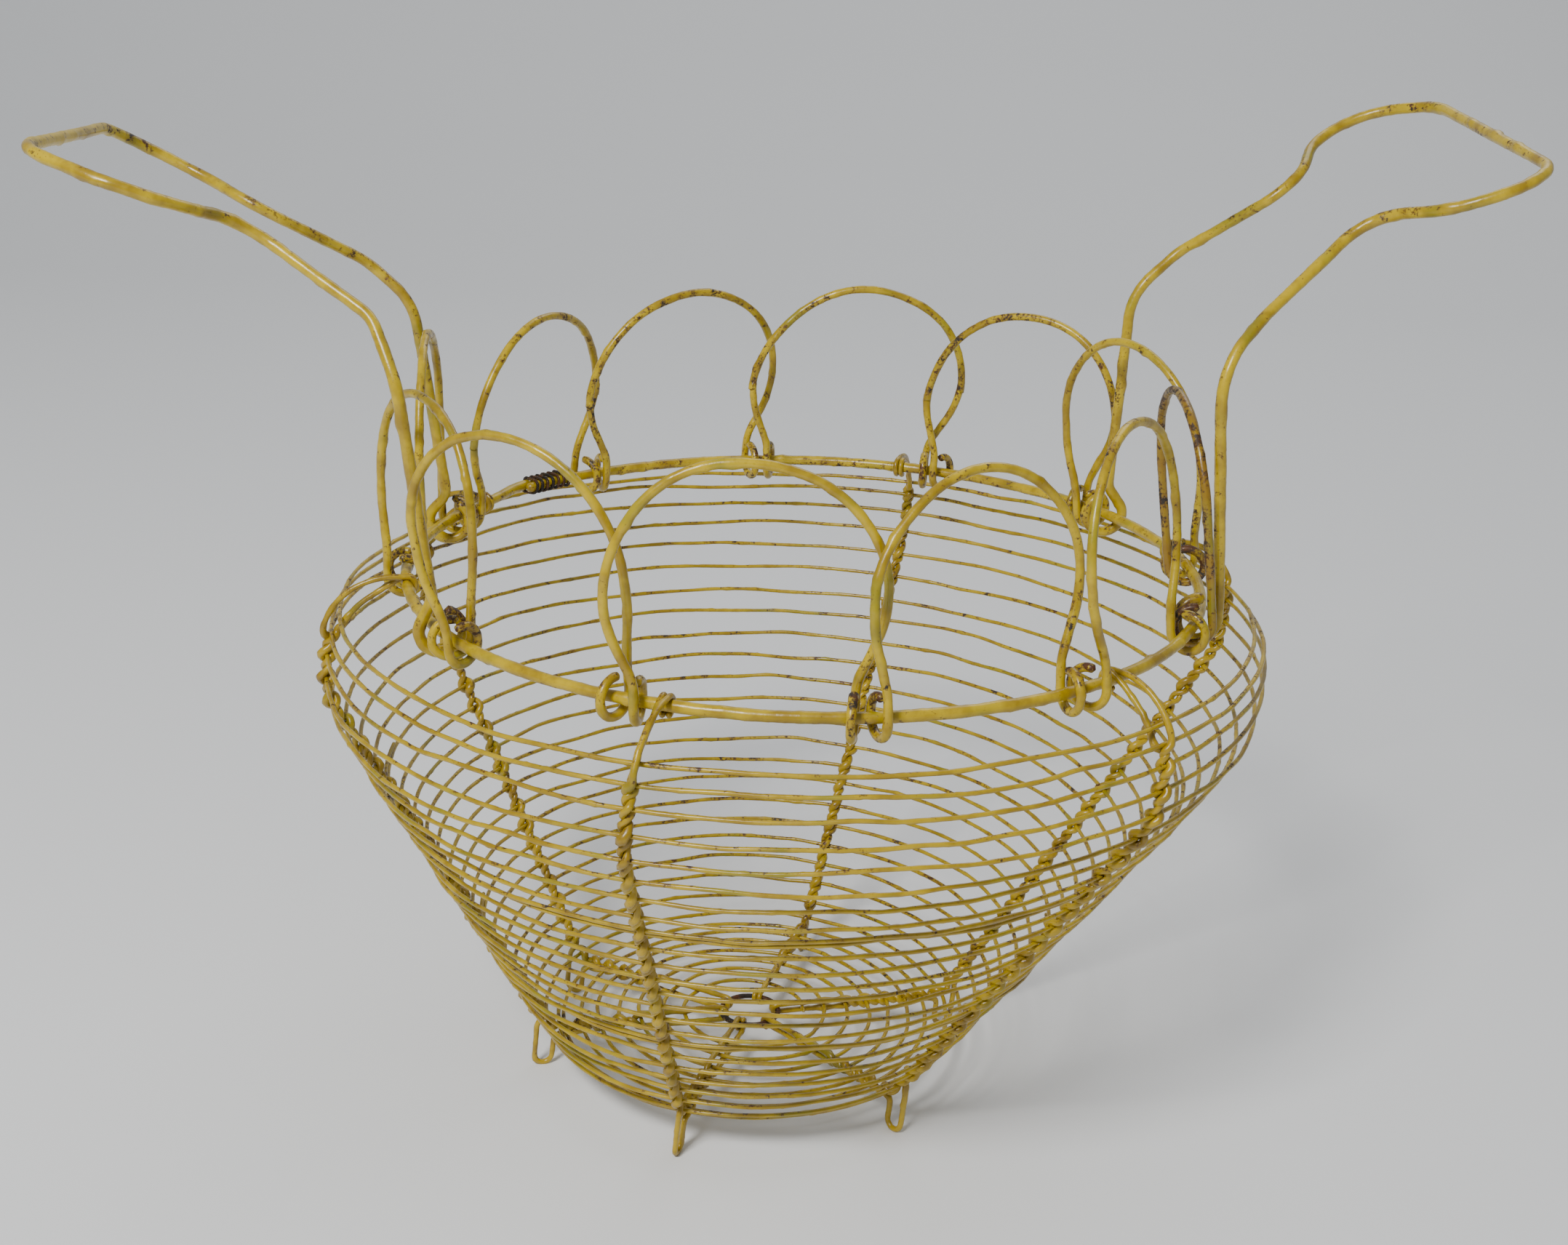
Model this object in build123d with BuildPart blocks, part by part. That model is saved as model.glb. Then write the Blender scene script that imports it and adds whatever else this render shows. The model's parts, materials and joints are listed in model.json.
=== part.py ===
from build123d import *
import os
from math import sin, cos, tan, asin, acos, atan2, radians, degrees, hypot, dist, pi

# Wire basket with folding rim petals and two hinged carrying handles.
# Millimetres, +Z up. Origin: below the centre of the rim ring, on the plane the feet
# stand on; the wound body leans, so its base is centred to -X of the origin.
# +X points from the left handle to the right handle.

# ---------------------------------------------------------------- dimensions
RIM_R = 115.0          # rim ring, centreline radius
RIM_Z = 161.0          # rim ring, centreline height
RIM_WIRE = 1.6         # wire radii
LAP_R = RIM_R + 3.4    # lapped end of the rim wire runs outside its own start
LAP_SWERVE = 15.0      # bend radius of the joggle into the lap
LAP_FROM, LAP_END, RIM_START = 150.5, 132.0, 142.0   # degrees round the rim

BODY_LEAN = 0.084      # the wound body leans to -X below the rim, mm per mm of depth

BASE_Z = 12.0          # flat base, centreline of the winding
BASE_CORNER_R = 63.2   # where the flat base and the sloping wall would meet
CORNER_FILLET = 8.0
WALL_SLOPE = 31.9      # degrees from vertical
SHOULDER = 21.3        # radius of the shoulder curve
BELLY_R = RIM_R + SHOULDER
SHOULDER_Z = 140.75    # height where the shoulder starts to curve in
THIN_WIRE = 0.6        # radius of the wound wire
STRAND_WIRE = 0.75     # radius of each rib strand
GRIP = 1.65            # strand centreline to winding centreline
STRAND_SIDE = 0.85     # each strand of a pair lies this far to its side
HOOK_R = RIM_WIRE + STRAND_WIRE + 0.2
RIB_ANGLES = [152.6, 74.0, 13.5, -46.0, -106.5, -166.3]

HUB_R = 9.0
HUB_WIRE = 0.6
FOOT_R = 65.0          # centre of each foot loop from the axis
FOOT_HALF = 2.7
FOOT_WEAR = 0.2        # flat worn on the bottom of each foot loop

PETAL_WIRE = 1.25
PETAL_EYE = 5.25       # centreline radius of a petal's eye
PETAL_HALF_ANGLE = 13.4
# each hand-bent petal: degrees it leans inwards as it stands, half width of its
# arch, height above the rim ring, sideways set of its top
PETALS = [
    (9.4, 35.0, 59.5, -1.4),
    (7.8, 35.0, 61.3, 2.0),
    (0.0, 35.0, 60.1, 6.2),
    (-4.5, 33.0, 57.4, 2.3),
    (7.1, 30.6, 60.5, -0.9),
    (8.5, 28.0, 60.0, 1.0),
    (5.8, 35.0, 63.8, 5.4),
    (6.4, 31.6, 58.8, -2.1),
    (-0.6, 34.2, 63.1, 1.3),
    (-7.0, 30.7, 62.3, 5.3),
    (0.3, 29.5, 59.2, 0.9),
    (-0.5, 30.0, 62.2, 0.0),
]
FIRST_JUNCTION = 128.2 # degrees; junctions follow every 30 degrees

HANDLE_WIRE = 1.6
HANDLE_EYE = 5.9
HANDLE_HALF_ANGLE = 25.4
# corner points of each handle's centreline from its clockwise eye round to the
# other: along the hinge, outwards, up; then how far the whole handle is tipped
RIGHT_LINE = [(-49.3, 5.8, 8.5), (-53.5, 2.6, 72.3), (-43.9, 17.3, 83.3), (-28.4, 50.7, 105.8),
              (-68.3, 73.4, 114.1), (-43.6, 93.8, 119.4), (40.8, 98.0, 125.1), (69.2, 72.6, 120.1),
              (29.9, 51.5, 105.6), (50.1, 21.9, 83.1), (47.2, 6.4, 71.5), (49.3, 1.2, 8.9)]
LEFT_LINE = [(-49.3, 0.3, 8.1), (-47.1, 8.1, 68.7), (-50.4, 21.0, 80.3), (-27.6, 49.7, 100.1),
             (-58.9, 75.0, 109.1), (-33.8, 89.7, 121.1), (34.9, 98.3, 125.2), (58.9, 67.7, 116.9),
             (26.3, 47.2, 105.2), (44.8, 14.4, 83.8), (54.4, 8.4, 68.5), (49.3, 2.0, 8.7)]
HANDLE_BENDS = [6, 18, 12, 14, 20, 16, 16, 20, 14, 12, 18, 6]   # bend radii
RIGHT_TIP = -3.3       # degrees outwards as it stands
LEFT_TIP = 0.8

# turns of the winding, measured along the wall from the axis
TURNS = [17, 24, 31, 38, 44.5, 50.5, 56, 61.5,
         68, 75, 81.5, 88, 95, 102, 109,
         116, 123, 130.5, 137.5, 144.5, 152.5, 160.5,
         168, 176, 185, 193, 201.5, 208.5,
         215.5, 221, 226]
LAP_GAP = 1.45         # side by side spacing where two lengths lap


# ------------------------------------------------------------ path geometry
def filleted(points, radii):
    """Straight runs with tangent arcs at the inner corners, in a plane or in space."""
    def along(p, d, q):
        return tuple(x + d * y for x, y in zip(p, q))

    out = []
    start = points[0]
    for i in range(1, len(points) - 1):
        a, b, c = points[i - 1], points[i], points[i + 1]
        la, lc = dist(a, b), dist(c, b)
        u = tuple((x - y) / la for x, y in zip(a, b))
        v = tuple((x - y) / lc for x, y in zip(c, b))
        w = tuple(x + y for x, y in zip(u, v))
        lw = hypot(*w)
        if lw < 2e-3:
            continue
        half = acos(max(-1.0, min(1.0, sum(x * y for x, y in zip(u, v))))) / 2
        r = radii[i - 1]
        p, q = along(b, r / tan(half), u), along(b, r / tan(half), v)
        m = along(b, (r / sin(half) - r) / lw, w)
        if dist(p, start) > 1e-6:
            out.append((start, p))
        out.append((p, m, q))
        start = q
    if dist(points[-1], start) > 1e-6:
        out.append((start, points[-1]))
    return out


def arc(cx, cy, r, a0, a1):
    am = (a0 + a1) / 2
    return tuple((cx + r * cos(radians(a)), cy + r * sin(radians(a))) for a in (a0, am, a1))


def lay(segments, place):
    """Draw planar segments into the active line block through a placing function."""
    for seg in segments:
        pts = [place(*p) for p in seg]
        if len(pts) == 2:
            Line(*pts)
        else:
            ThreePointArc(*pts)


def ordered(line):
    return Wire(line.edges())


def start_plane(place, seg):
    """Plane across the path at its first point."""
    wire_start = Vector(*place(*seg[0]))
    if len(seg) == 2:
        direction = Vector(*place(*seg[1])) - wire_start
    else:
        edge = Edge.make_three_point_arc(*[Vector(*place(*p)) for p in seg])
        direction = edge % 0
    return Plane(origin=wire_start, z_dir=direction)


# ------------------------------------------------------------------ profile
slope = radians(WALL_SLOPE)
shoulder_low = SHOULDER_Z - 5.35          # where the wall meets the shoulder arc


def profile(s):
    """Radius and height of the winding, a distance s along the wall."""
    setback = CORNER_FILLET * tan((pi / 2 - slope) / 2)
    flat = BASE_CORNER_R - setback
    if s <= flat:
        return s, BASE_Z
    s -= flat
    turn = CORNER_FILLET * (pi / 2 - slope)
    if s <= turn:
        a = s / CORNER_FILLET
        return flat + CORNER_FILLET * sin(a), BASE_Z + CORNER_FILLET * (1 - cos(a))
    s -= turn
    r0 = BASE_CORNER_R + setback * sin(slope)
    z0 = BASE_Z + setback * cos(slope)
    r1 = RIM_R + SHOULDER * cos(slope)
    z1 = shoulder_low - SHOULDER * sin(slope)
    run = hypot(r1 - r0, z1 - z0)
    if s <= run:
        return r0 + (r1 - r0) * s / run, z0 + (z1 - z0) * s / run
    s -= run
    if s <= SHOULDER * slope:
        a = slope - s / SHOULDER
        return RIM_R + SHOULDER * cos(a), shoulder_low - SHOULDER * sin(a)
    s -= SHOULDER * slope
    if s <= SHOULDER_Z - shoulder_low:
        return BELLY_R, shoulder_low + s
    s -= SHOULDER_Z - shoulder_low
    a = s / SHOULDER
    return RIM_R + SHOULDER * cos(a), SHOULDER_Z + SHOULDER * sin(a)


def lean(z):
    """Sideways shift of the leaning body at height z."""
    return BODY_LEAN * (min(z, RIM_Z) - RIM_Z)


def turn_at(h):
    """Distance along the wall after h half turns."""
    i = min(int(h // 2), len(TURNS) - 2)
    f = h / 2 - i
    return TURNS[i] * (1 - f) + TURNS[i + 1] * f


def half_turn(h, s0, s1):
    """One half turn of wire, tilted about Y so that the turns join smoothly."""
    side = 1 if h % 2 == 0 else -1
    r0, z0 = profile(s0)
    r1, z1 = profile(s1)
    a = (side * r0 + lean(z0), 0, z0)
    b = (lean(z1) - side * r1, 0, z1)
    m = ((a[0] + b[0]) / 2, (a[0] - b[0]) / 2, (z0 + z1) / 2)
    ThreePointArc(a, m, b)
    return a


# -------------------------------------------------------------- rim ring
gamma = acos(((RIM_R + LAP_SWERVE) ** 2 + (LAP_R - LAP_SWERVE) ** 2 - (2 * LAP_SWERVE) ** 2)
             / (2 * (RIM_R + LAP_SWERVE) * (LAP_R - LAP_SWERVE)))


def polar(r, a):
    return (r * cos(radians(a)), r * sin(radians(a)), RIM_Z)


with BuildPart() as rim_ring:
    with BuildLine() as rim_path:
        a_mid = (RIM_START + LAP_FROM - 360) / 2
        ThreePointArc(polar(RIM_R, RIM_START), polar(RIM_R, (RIM_START + a_mid) / 2), polar(RIM_R, a_mid))
        ThreePointArc(polar(RIM_R, a_mid), polar(RIM_R, (a_mid + LAP_FROM - 360) / 2), polar(RIM_R, LAP_FROM))
        c1 = Vector(*polar(RIM_R + LAP_SWERVE, LAP_FROM))
        c2 = Vector(*polar(LAP_R - LAP_SWERVE, LAP_FROM - degrees(gamma)))
        p0 = Vector(*polar(RIM_R, LAP_FROM))
        t0 = (c1 + c2) * 0.5
        p1 = Vector(*polar(LAP_R, LAP_FROM - degrees(gamma)))
        m1 = c1 + ((p0 - c1) + (t0 - c1)).normalized() * LAP_SWERVE
        m2 = c2 + ((t0 - c2) + (p1 - c2)).normalized() * LAP_SWERVE
        ThreePointArc(p0, m1, t0)
        ThreePointArc(t0, m2, p1)
        a_lap = (LAP_FROM - degrees(gamma) + LAP_END) / 2
        ThreePointArc(p1, polar(LAP_R, a_lap), polar(LAP_R, LAP_END))
    with BuildSketch(Plane(origin=polar(RIM_R, RIM_START),
                           z_dir=(sin(radians(RIM_START)), -cos(radians(RIM_START)), 0))):
        Circle(RIM_WIRE)
    sweep(path=ordered(rim_path.line))
rim_ring.part.label = "rim_ring"

# thin wire bound round the lapped ends of the rim
with BuildPart() as rim_binding:
    for k in range(7):
        ang = radians(133.6 + 1.15 * k)
        side_plane = Plane(origin=(0, 0, 0), x_dir=(cos(ang), sin(ang), 0), z_dir=(sin(ang), -cos(ang), 0))
        loop_r = RIM_WIRE + 0.45 + 0.12
        with BuildSketch(Plane(origin=side_plane.from_local_coords((RIM_R, RIM_Z + loop_r, 0)),
                               z_dir=(cos(ang), sin(ang), 0))):
            Circle(0.45)
        with BuildLine(side_plane):
            Line((RIM_R, RIM_Z + loop_r), (LAP_R, RIM_Z + loop_r))
            ThreePointArc((LAP_R, RIM_Z + loop_r), (LAP_R + loop_r, RIM_Z), (LAP_R, RIM_Z - loop_r))
            Line((LAP_R, RIM_Z - loop_r), (RIM_R, RIM_Z - loop_r))
            ThreePointArc((RIM_R, RIM_Z - loop_r), (RIM_R - loop_r, RIM_Z), (RIM_R, RIM_Z + loop_r))
        sweep()
rim_binding.part.label = "rim_binding"


# --------------------------------------------------------------- winding
def wound_length(first, last, lap):
    """Half turns first..last; a lapped length starts half a turn early, beside the one below."""
    steps = []
    if lap:
        steps.append((first - 1, turn_at(first - 1) + LAP_GAP, turn_at(first) + LAP_GAP))
        steps.append((first, turn_at(first) + LAP_GAP, turn_at(first + 1)))
        first += 1
    for h in range(first, last):
        steps.append((h, turn_at(h), turn_at(h + 1)))
    return steps


def wind(steps):
    for h, s0, s1 in steps:
        half_turn(h, s0, s1)


def wind_start(steps):
    h, s0, s1 = steps[0]
    side = 1 if h % 2 == 0 else -1
    r0, z0 = profile(s0)
    return Plane(origin=(side * r0 + lean(z0), 0, z0), z_dir=(0, side, 0))


base_steps = wound_length(0, 14, False)
with BuildPart() as base_winding:
    with BuildLine() as base_path:
        wind(base_steps)
    with BuildSketch(wind_start(base_steps)):
        Circle(THIN_WIRE)
    sweep(path=ordered(base_path.line))
base_winding.part.label = "base_winding"

low_steps = wound_length(14, 28, True)
with BuildPart() as lower_winding:
    with BuildLine() as low_path:
        wind(low_steps)
    with BuildSketch(wind_start(low_steps)):
        Circle(THIN_WIRE)
    sweep(path=ordered(low_path.line))
lower_winding.part.label = "lower_winding"

mid_steps = wound_length(28, 44, True)
with BuildPart() as middle_winding:
    with BuildLine() as mid_path:
        wind(mid_steps)
    with BuildSketch(wind_start(mid_steps)):
        Circle(THIN_WIRE)
    sweep(path=ordered(mid_path.line))
middle_winding.part.label = "middle_winding"

top_steps = wound_length(44, 60, True)
with BuildPart() as upper_winding:
    with BuildLine() as top_path:
        wind(top_steps)
    with BuildSketch(wind_start(top_steps)):
        Circle(THIN_WIRE)
    sweep(path=ordered(top_path.line))
upper_winding.part.label = "upper_winding"

# ------------------------------------------------------------------- hub
with BuildPart() as hub_ring:
    with BuildLine() as hub_path:
        CenterArc((lean(BASE_Z), 0, BASE_Z), HUB_R, 0, 360)
    with BuildSketch(Plane(origin=(lean(BASE_Z) + HUB_R, 0, BASE_Z), z_dir=(0, 1, 0))):
        Circle(HUB_WIRE)
    sweep(path=ordered(hub_path.line))
hub_ring.part.label = "hub_ring"


# ------------------------------------------------------------------ ribs
def rib_place(angle, side):
    """In the plane of a rib, set off to its side; at is the height whose lean it takes."""
    a = radians(angle)
    c, s = cos(a), sin(a)

    def place(r, z, at=None):
        return (r * c - side * s + lean(z if at is None else at), r * s + side * c, z)
    return place


lift = GRIP / cos(slope)
outer_r = BELLY_R + GRIP
inner_r = BELLY_R - GRIP


def wall_z(r, shift):
    """Height where the wall line, moved outwards by shift, reaches radius r."""
    return BASE_Z + (r - BASE_CORNER_R - shift) / tan(slope)


# outer strand: hooked round the hub, under the base, down and up to make the
# foot, up outside the wall and over the rim ring
foot_z = STRAND_WIRE - FOOT_WEAR
outer_hub = arc(HUB_R, BASE_Z, GRIP, 60, 270)
outer_corners = [
    (HUB_R, BASE_Z - GRIP, BASE_Z),
    (FOOT_R - FOOT_HALF, BASE_Z - GRIP, BASE_Z),
    (FOOT_R - FOOT_HALF, foot_z),
    (FOOT_R + FOOT_HALF, foot_z),
    (FOOT_R + FOOT_HALF, wall_z(FOOT_R + FOOT_HALF, lift)),
    (outer_r, wall_z(outer_r, lift)),
    (outer_r, RIM_Z + HOOK_R),
    (RIM_R, RIM_Z + HOOK_R)]
outer_bends = [2.2, FOOT_HALF - 0.02, FOOT_HALF - 0.02, 5.0, SHOULDER + GRIP, SHOULDER + GRIP - 3.5]
outer_hook = arc(RIM_R, RIM_Z, HOOK_R, 90, 290)

# inner strand: hooked round the hub, over the base, up inside the wall and
# across to the rim ring above the last turn
psi = asin((SHOULDER - GRIP - HOOK_R) / (RIM_Z - SHOULDER_Z))
inner_hub = arc(HUB_R, BASE_Z, GRIP, 300, 90)
inner_hook = arc(RIM_R, RIM_Z, HOOK_R, degrees(psi), 290)
inner_corners = [
    (HUB_R, BASE_Z + GRIP, BASE_Z),
    (BASE_CORNER_R - lift + GRIP * tan(slope), BASE_Z + GRIP, BASE_Z),
    (inner_r, wall_z(inner_r, -lift)),
    (inner_r, SHOULDER_Z + (SHOULDER - GRIP) * tan(psi / 2)),
    (inner_hook[0][0] + 4 * sin(psi), inner_hook[0][1] - 4 * cos(psi), RIM_Z),
    (*inner_hook[0], RIM_Z)]
inner_bends = [CORNER_FILLET - GRIP, SHOULDER - GRIP, SHOULDER - GRIP + 4, 20.0]


def strand_path(hub, corners, bends, hook, place):
    """The strand's whole centreline, piece by piece."""
    return ([tuple(place(r, z, BASE_Z) for r, z in hub)]
            + filleted([place(*p) for p in corners], bends)
            + [tuple(place(r, z, RIM_Z) for r, z in hook)])


def as_is(x, y, z):
    return (x, y, z)


def strand(segments):
    """One rib strand, swept along its own path; its foot is worn flat."""
    with BuildPart() as piece:
        with BuildLine() as path:
            lay(segments, as_is)
        with BuildSketch(start_plane(as_is, segments[0])):
            Circle(STRAND_WIRE)
        sweep(path=ordered(path.line))
        with Locations((0, 0, -5)):
            Box(300, 300, 10, mode=Mode.SUBTRACT)
    return piece


ribs = {}
for number, rib_angle in enumerate(RIB_ANGLES, start=1):
    outer = strand(strand_path(outer_hub, outer_corners, outer_bends, outer_hook,
                               rib_place(rib_angle, STRAND_SIDE)))
    inner = strand(strand_path(inner_hub, inner_corners, inner_bends, inner_hook,
                               rib_place(rib_angle, -STRAND_SIDE)))
    outer.part.label = f"rib_{number}_outer_strand"
    inner.part.label = f"rib_{number}_inner_strand"
    ribs[outer.part.label] = outer
    ribs[inner.part.label] = inner


# ---------------------------------------------------------------- petals
def hinge_place(mid_angle, axis_r, tip):
    """Local (along the hinge, outwards, up) to the basket, tipped outwards by tip degrees."""
    a, t = radians(mid_angle), radians(tip)
    c, s = cos(a), sin(a)

    def place(u, n, w):
        nn = n * cos(t) + w * sin(t)
        ww = w * cos(t) - n * sin(t)
        r = axis_r + nn
        return (r * c - u * s, r * s + u * c, RIM_Z + ww)
    return place


# u runs counter-clockwise, so a petal's clockwise leg stands outside the rim
# and its counter-clockwise leg inside, in the next petal's shelter
petal_u = RIM_R * sin(radians(PETAL_HALF_ANGLE))
petal_axis = RIM_R * cos(radians(PETAL_HALF_ANGLE))
petal_span = hypot(petal_u, PETAL_EYE)


def petal(mid_angle, inward, half_width, top, set_over):
    place = hinge_place(mid_angle, petal_axis, -inward)

    def start_eye(n, w):
        return place(petal_u, n, w)

    def end_eye(n, w):
        return place(-petal_u, n, w)

    def loop(a, w):
        return place(-a * petal_u / petal_span, a * PETAL_EYE / petal_span, w)

    first = [arc(0, 0, PETAL_EYE, 112, -180)]
    side = set_over * 22 / top
    corners = [(-petal_span, 0), (-petal_span, 7), (side - half_width, 22), (set_over - half_width, top),
               (set_over + half_width, top), (side + half_width, 22), (petal_span, 7), (petal_span, 0)]
    tilt = atan2(set_over - side, top - 22)      # the arch's two sides lean over together
    arch = filleted(corners, [15, 30, 0.999 * half_width * tan(pi / 4 + tilt / 2),
                              0.999 * half_width * tan(pi / 4 - tilt / 2), 30, 15])
    last = [arc(0, 0, PETAL_EYE, 0, -292)]
    with BuildPart() as piece:
        with BuildLine() as path:
            lay(first, start_eye)
            lay(arch, loop)
            lay(last, end_eye)
        with BuildSketch(start_plane(start_eye, first[0])):
            Circle(PETAL_WIRE)
        sweep(path=ordered(path.line))
    return piece


petals = {}
for number, shape in enumerate(PETALS, start=1):
    made = petal(FIRST_JUNCTION + 15 - 30 * (number - 1), *shape)
    made.part.label = f"petal_{number:02d}"
    petals[made.part.label] = made


# --------------------------------------------------------------- handles
handle_u = RIM_R * sin(radians(HANDLE_HALF_ANGLE))
handle_axis = RIM_R * cos(radians(HANDLE_HALF_ANGLE))


def leaving(n, w):
    """Angle round an eye where the straight wire to (n, w) leaves it."""
    return degrees(atan2(w, n) - acos(HANDLE_EYE / hypot(n, w)))


def handle(mid_angle, line, tip):
    place = hinge_place(mid_angle, handle_axis, tip)

    def on_eye(u, a):
        return (u, HANDLE_EYE * cos(radians(a)), HANDLE_EYE * sin(radians(a)))

    def eye(u, a0, a1):
        return tuple(on_eye(u, a) for a in (a0, (a0 + a1) / 2, a1))

    first, last = leaving(*line[0][1:]), leaving(*line[-1][1:])
    segments = [eye(-handle_u, first - 290, first)]
    segments += filleted([on_eye(-handle_u, first), *line, on_eye(handle_u, last)], HANDLE_BENDS)
    segments += [eye(handle_u, last, last - 290)]
    with BuildPart() as piece:
        with BuildLine() as path:
            lay(segments, place)
        with BuildSketch(start_plane(place, segments[0])):
            Circle(HANDLE_WIRE)
        sweep(path=ordered(path.line))
    return piece


handle_right = handle(FIRST_JUNCTION - 120, RIGHT_LINE, RIGHT_TIP)
handle_right.part.label = "handle_right"
handle_left = handle(FIRST_JUNCTION - 300, LEFT_LINE, LEFT_TIP)
handle_left.part.label = "handle_left"

# ---------------------------------------------------------------- export
pieces = {
    "rim_ring": rim_ring, "rim_binding": rim_binding,
    "base_winding": base_winding, "lower_winding": lower_winding,
    "middle_winding": middle_winding, "upper_winding": upper_winding,
    "hub_ring": hub_ring, "handle_right": handle_right, "handle_left": handle_left,
}
pieces.update(ribs)
pieces.update(petals)

os.makedirs("parts", exist_ok=True)
for name, piece in pieces.items():
    export_step(piece.part, f"parts/{name}.step")
    b = piece.part.bounding_box()
    print(name, len(piece.part.solids()), "solid(s)", round(piece.part.volume, 1),
          "z", round(b.min.Z, 2), round(b.max.Z, 2), piece.part.is_valid)
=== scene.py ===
import json
import bpy
import numpy as np
from mathutils import Matrix, Vector
from math import sin, cos, tan, asin, acos, atan2, radians, degrees, hypot, dist, pi


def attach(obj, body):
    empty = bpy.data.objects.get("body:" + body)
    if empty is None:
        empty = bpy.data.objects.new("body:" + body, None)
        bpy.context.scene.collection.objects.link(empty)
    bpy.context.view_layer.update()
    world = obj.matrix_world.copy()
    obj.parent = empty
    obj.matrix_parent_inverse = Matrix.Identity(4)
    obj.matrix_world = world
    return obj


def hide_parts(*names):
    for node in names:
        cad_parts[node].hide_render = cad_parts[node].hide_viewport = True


# Visual model of the wire basket. Lengths of the wire paths in millimetres, the
# same paths as the solid model's, then turned to metres.

# ---------------------------------------------------------------- dimensions
RIM_R = 115.0          # rim ring, centreline radius
RIM_Z = 161.0          # rim ring, centreline height
RIM_WIRE = 1.6         # wire radii
LAP_R = RIM_R + 3.4    # lapped end of the rim wire runs outside its own start
LAP_SWERVE = 15.0      # bend radius of the joggle into the lap
LAP_FROM, LAP_END, RIM_START = 150.5, 132.0, 142.0   # degrees round the rim

BODY_LEAN = 0.084      # the wound body leans to -X below the rim, mm per mm of depth

BASE_Z = 12.0          # flat base, centreline of the winding
BASE_CORNER_R = 63.2   # where the flat base and the sloping wall would meet
CORNER_FILLET = 8.0
WALL_SLOPE = 31.9      # degrees from vertical
SHOULDER = 21.3        # radius of the shoulder curve
BELLY_R = RIM_R + SHOULDER
SHOULDER_Z = 140.75    # height where the shoulder starts to curve in
THIN_WIRE = 0.6        # radius of the wound wire
STRAND_WIRE = 0.75     # radius of each rib strand
GRIP = 1.65            # strand centreline to winding centreline
STRAND_SIDE = 0.85     # each strand of a pair lies this far to its side
HOOK_R = RIM_WIRE + STRAND_WIRE + 0.2
RIB_ANGLES = [152.6, 74.0, 13.5, -46.0, -106.5, -166.3]

HUB_R = 9.0
HUB_WIRE = 0.6
FOOT_R = 65.0          # centre of each foot loop from the axis
FOOT_HALF = 2.7
FOOT_WEAR = 0.2        # flat worn on the bottom of each foot loop

PETAL_WIRE = 1.25
PETAL_EYE = 5.25       # centreline radius of a petal's eye
PETAL_HALF_ANGLE = 13.4
# each hand-bent petal: degrees it leans inwards as it stands, half width of its
# arch, height above the rim ring, sideways set of its top
PETALS = [
    (9.4, 35.0, 59.5, -1.4),
    (7.8, 35.0, 61.3, 2.0),
    (0.0, 35.0, 60.1, 6.2),
    (-4.5, 33.0, 57.4, 2.3),
    (7.1, 30.6, 60.5, -0.9),
    (8.5, 28.0, 60.0, 1.0),
    (5.8, 35.0, 63.8, 5.4),
    (6.4, 31.6, 58.8, -2.1),
    (-0.6, 34.2, 63.1, 1.3),
    (-7.0, 30.7, 62.3, 5.3),
    (0.3, 29.5, 59.2, 0.9),
    (-0.5, 30.0, 62.2, 0.0),
]
FIRST_JUNCTION = 128.2 # degrees; junctions follow every 30 degrees

HANDLE_WIRE = 1.6
HANDLE_EYE = 5.9
HANDLE_HALF_ANGLE = 25.4
# corner points of each handle's centreline from its clockwise eye round to the
# other: along the hinge, outwards, up; then how far the whole handle is tipped
RIGHT_LINE = [(-49.3, 5.8, 8.5), (-53.5, 2.6, 72.3), (-43.9, 17.3, 83.3), (-28.4, 50.7, 105.8),
              (-68.3, 73.4, 114.1), (-43.6, 93.8, 119.4), (40.8, 98.0, 125.1), (69.2, 72.6, 120.1),
              (29.9, 51.5, 105.6), (50.1, 21.9, 83.1), (47.2, 6.4, 71.5), (49.3, 1.2, 8.9)]
LEFT_LINE = [(-49.3, 0.3, 8.1), (-47.1, 8.1, 68.7), (-50.4, 21.0, 80.3), (-27.6, 49.7, 100.1),
             (-58.9, 75.0, 109.1), (-33.8, 89.7, 121.1), (34.9, 98.3, 125.2), (58.9, 67.7, 116.9),
             (26.3, 47.2, 105.2), (44.8, 14.4, 83.8), (54.4, 8.4, 68.5), (49.3, 2.0, 8.7)]
HANDLE_BENDS = [6, 18, 12, 14, 20, 16, 16, 20, 14, 12, 18, 6]   # bend radii
RIGHT_TIP = -3.3       # degrees outwards as it stands
LEFT_TIP = 0.8

# turns of the winding, measured along the wall from the axis
TURNS = [17, 24, 31, 38, 44.5, 50.5, 56, 61.5,
         68, 75, 81.5, 88, 95, 102, 109,
         116, 123, 130.5, 137.5, 144.5, 152.5, 160.5,
         168, 176, 185, 193, 201.5, 208.5,
         215.5, 221, 226]
LAP_GAP = 1.45         # side by side spacing where two lengths lap


# ------------------------------------------------------------ path geometry
def filleted(points, radii):
    """Straight runs with tangent arcs at the inner corners, in a plane or in space."""
    def along(p, d, q):
        return tuple(x + d * y for x, y in zip(p, q))

    out = []
    start = points[0]
    for i in range(1, len(points) - 1):
        a, b, c = points[i - 1], points[i], points[i + 1]
        la, lc = dist(a, b), dist(c, b)
        u = tuple((x - y) / la for x, y in zip(a, b))
        v = tuple((x - y) / lc for x, y in zip(c, b))
        w = tuple(x + y for x, y in zip(u, v))
        lw = hypot(*w)
        if lw < 2e-3:
            continue
        half = acos(max(-1.0, min(1.0, sum(x * y for x, y in zip(u, v))))) / 2
        r = radii[i - 1]
        p, q = along(b, r / tan(half), u), along(b, r / tan(half), v)
        m = along(b, (r / sin(half) - r) / lw, w)
        if dist(p, start) > 1e-6:
            out.append((start, p))
        out.append((p, m, q))
        start = q
    if dist(points[-1], start) > 1e-6:
        out.append((start, points[-1]))
    return out


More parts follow.
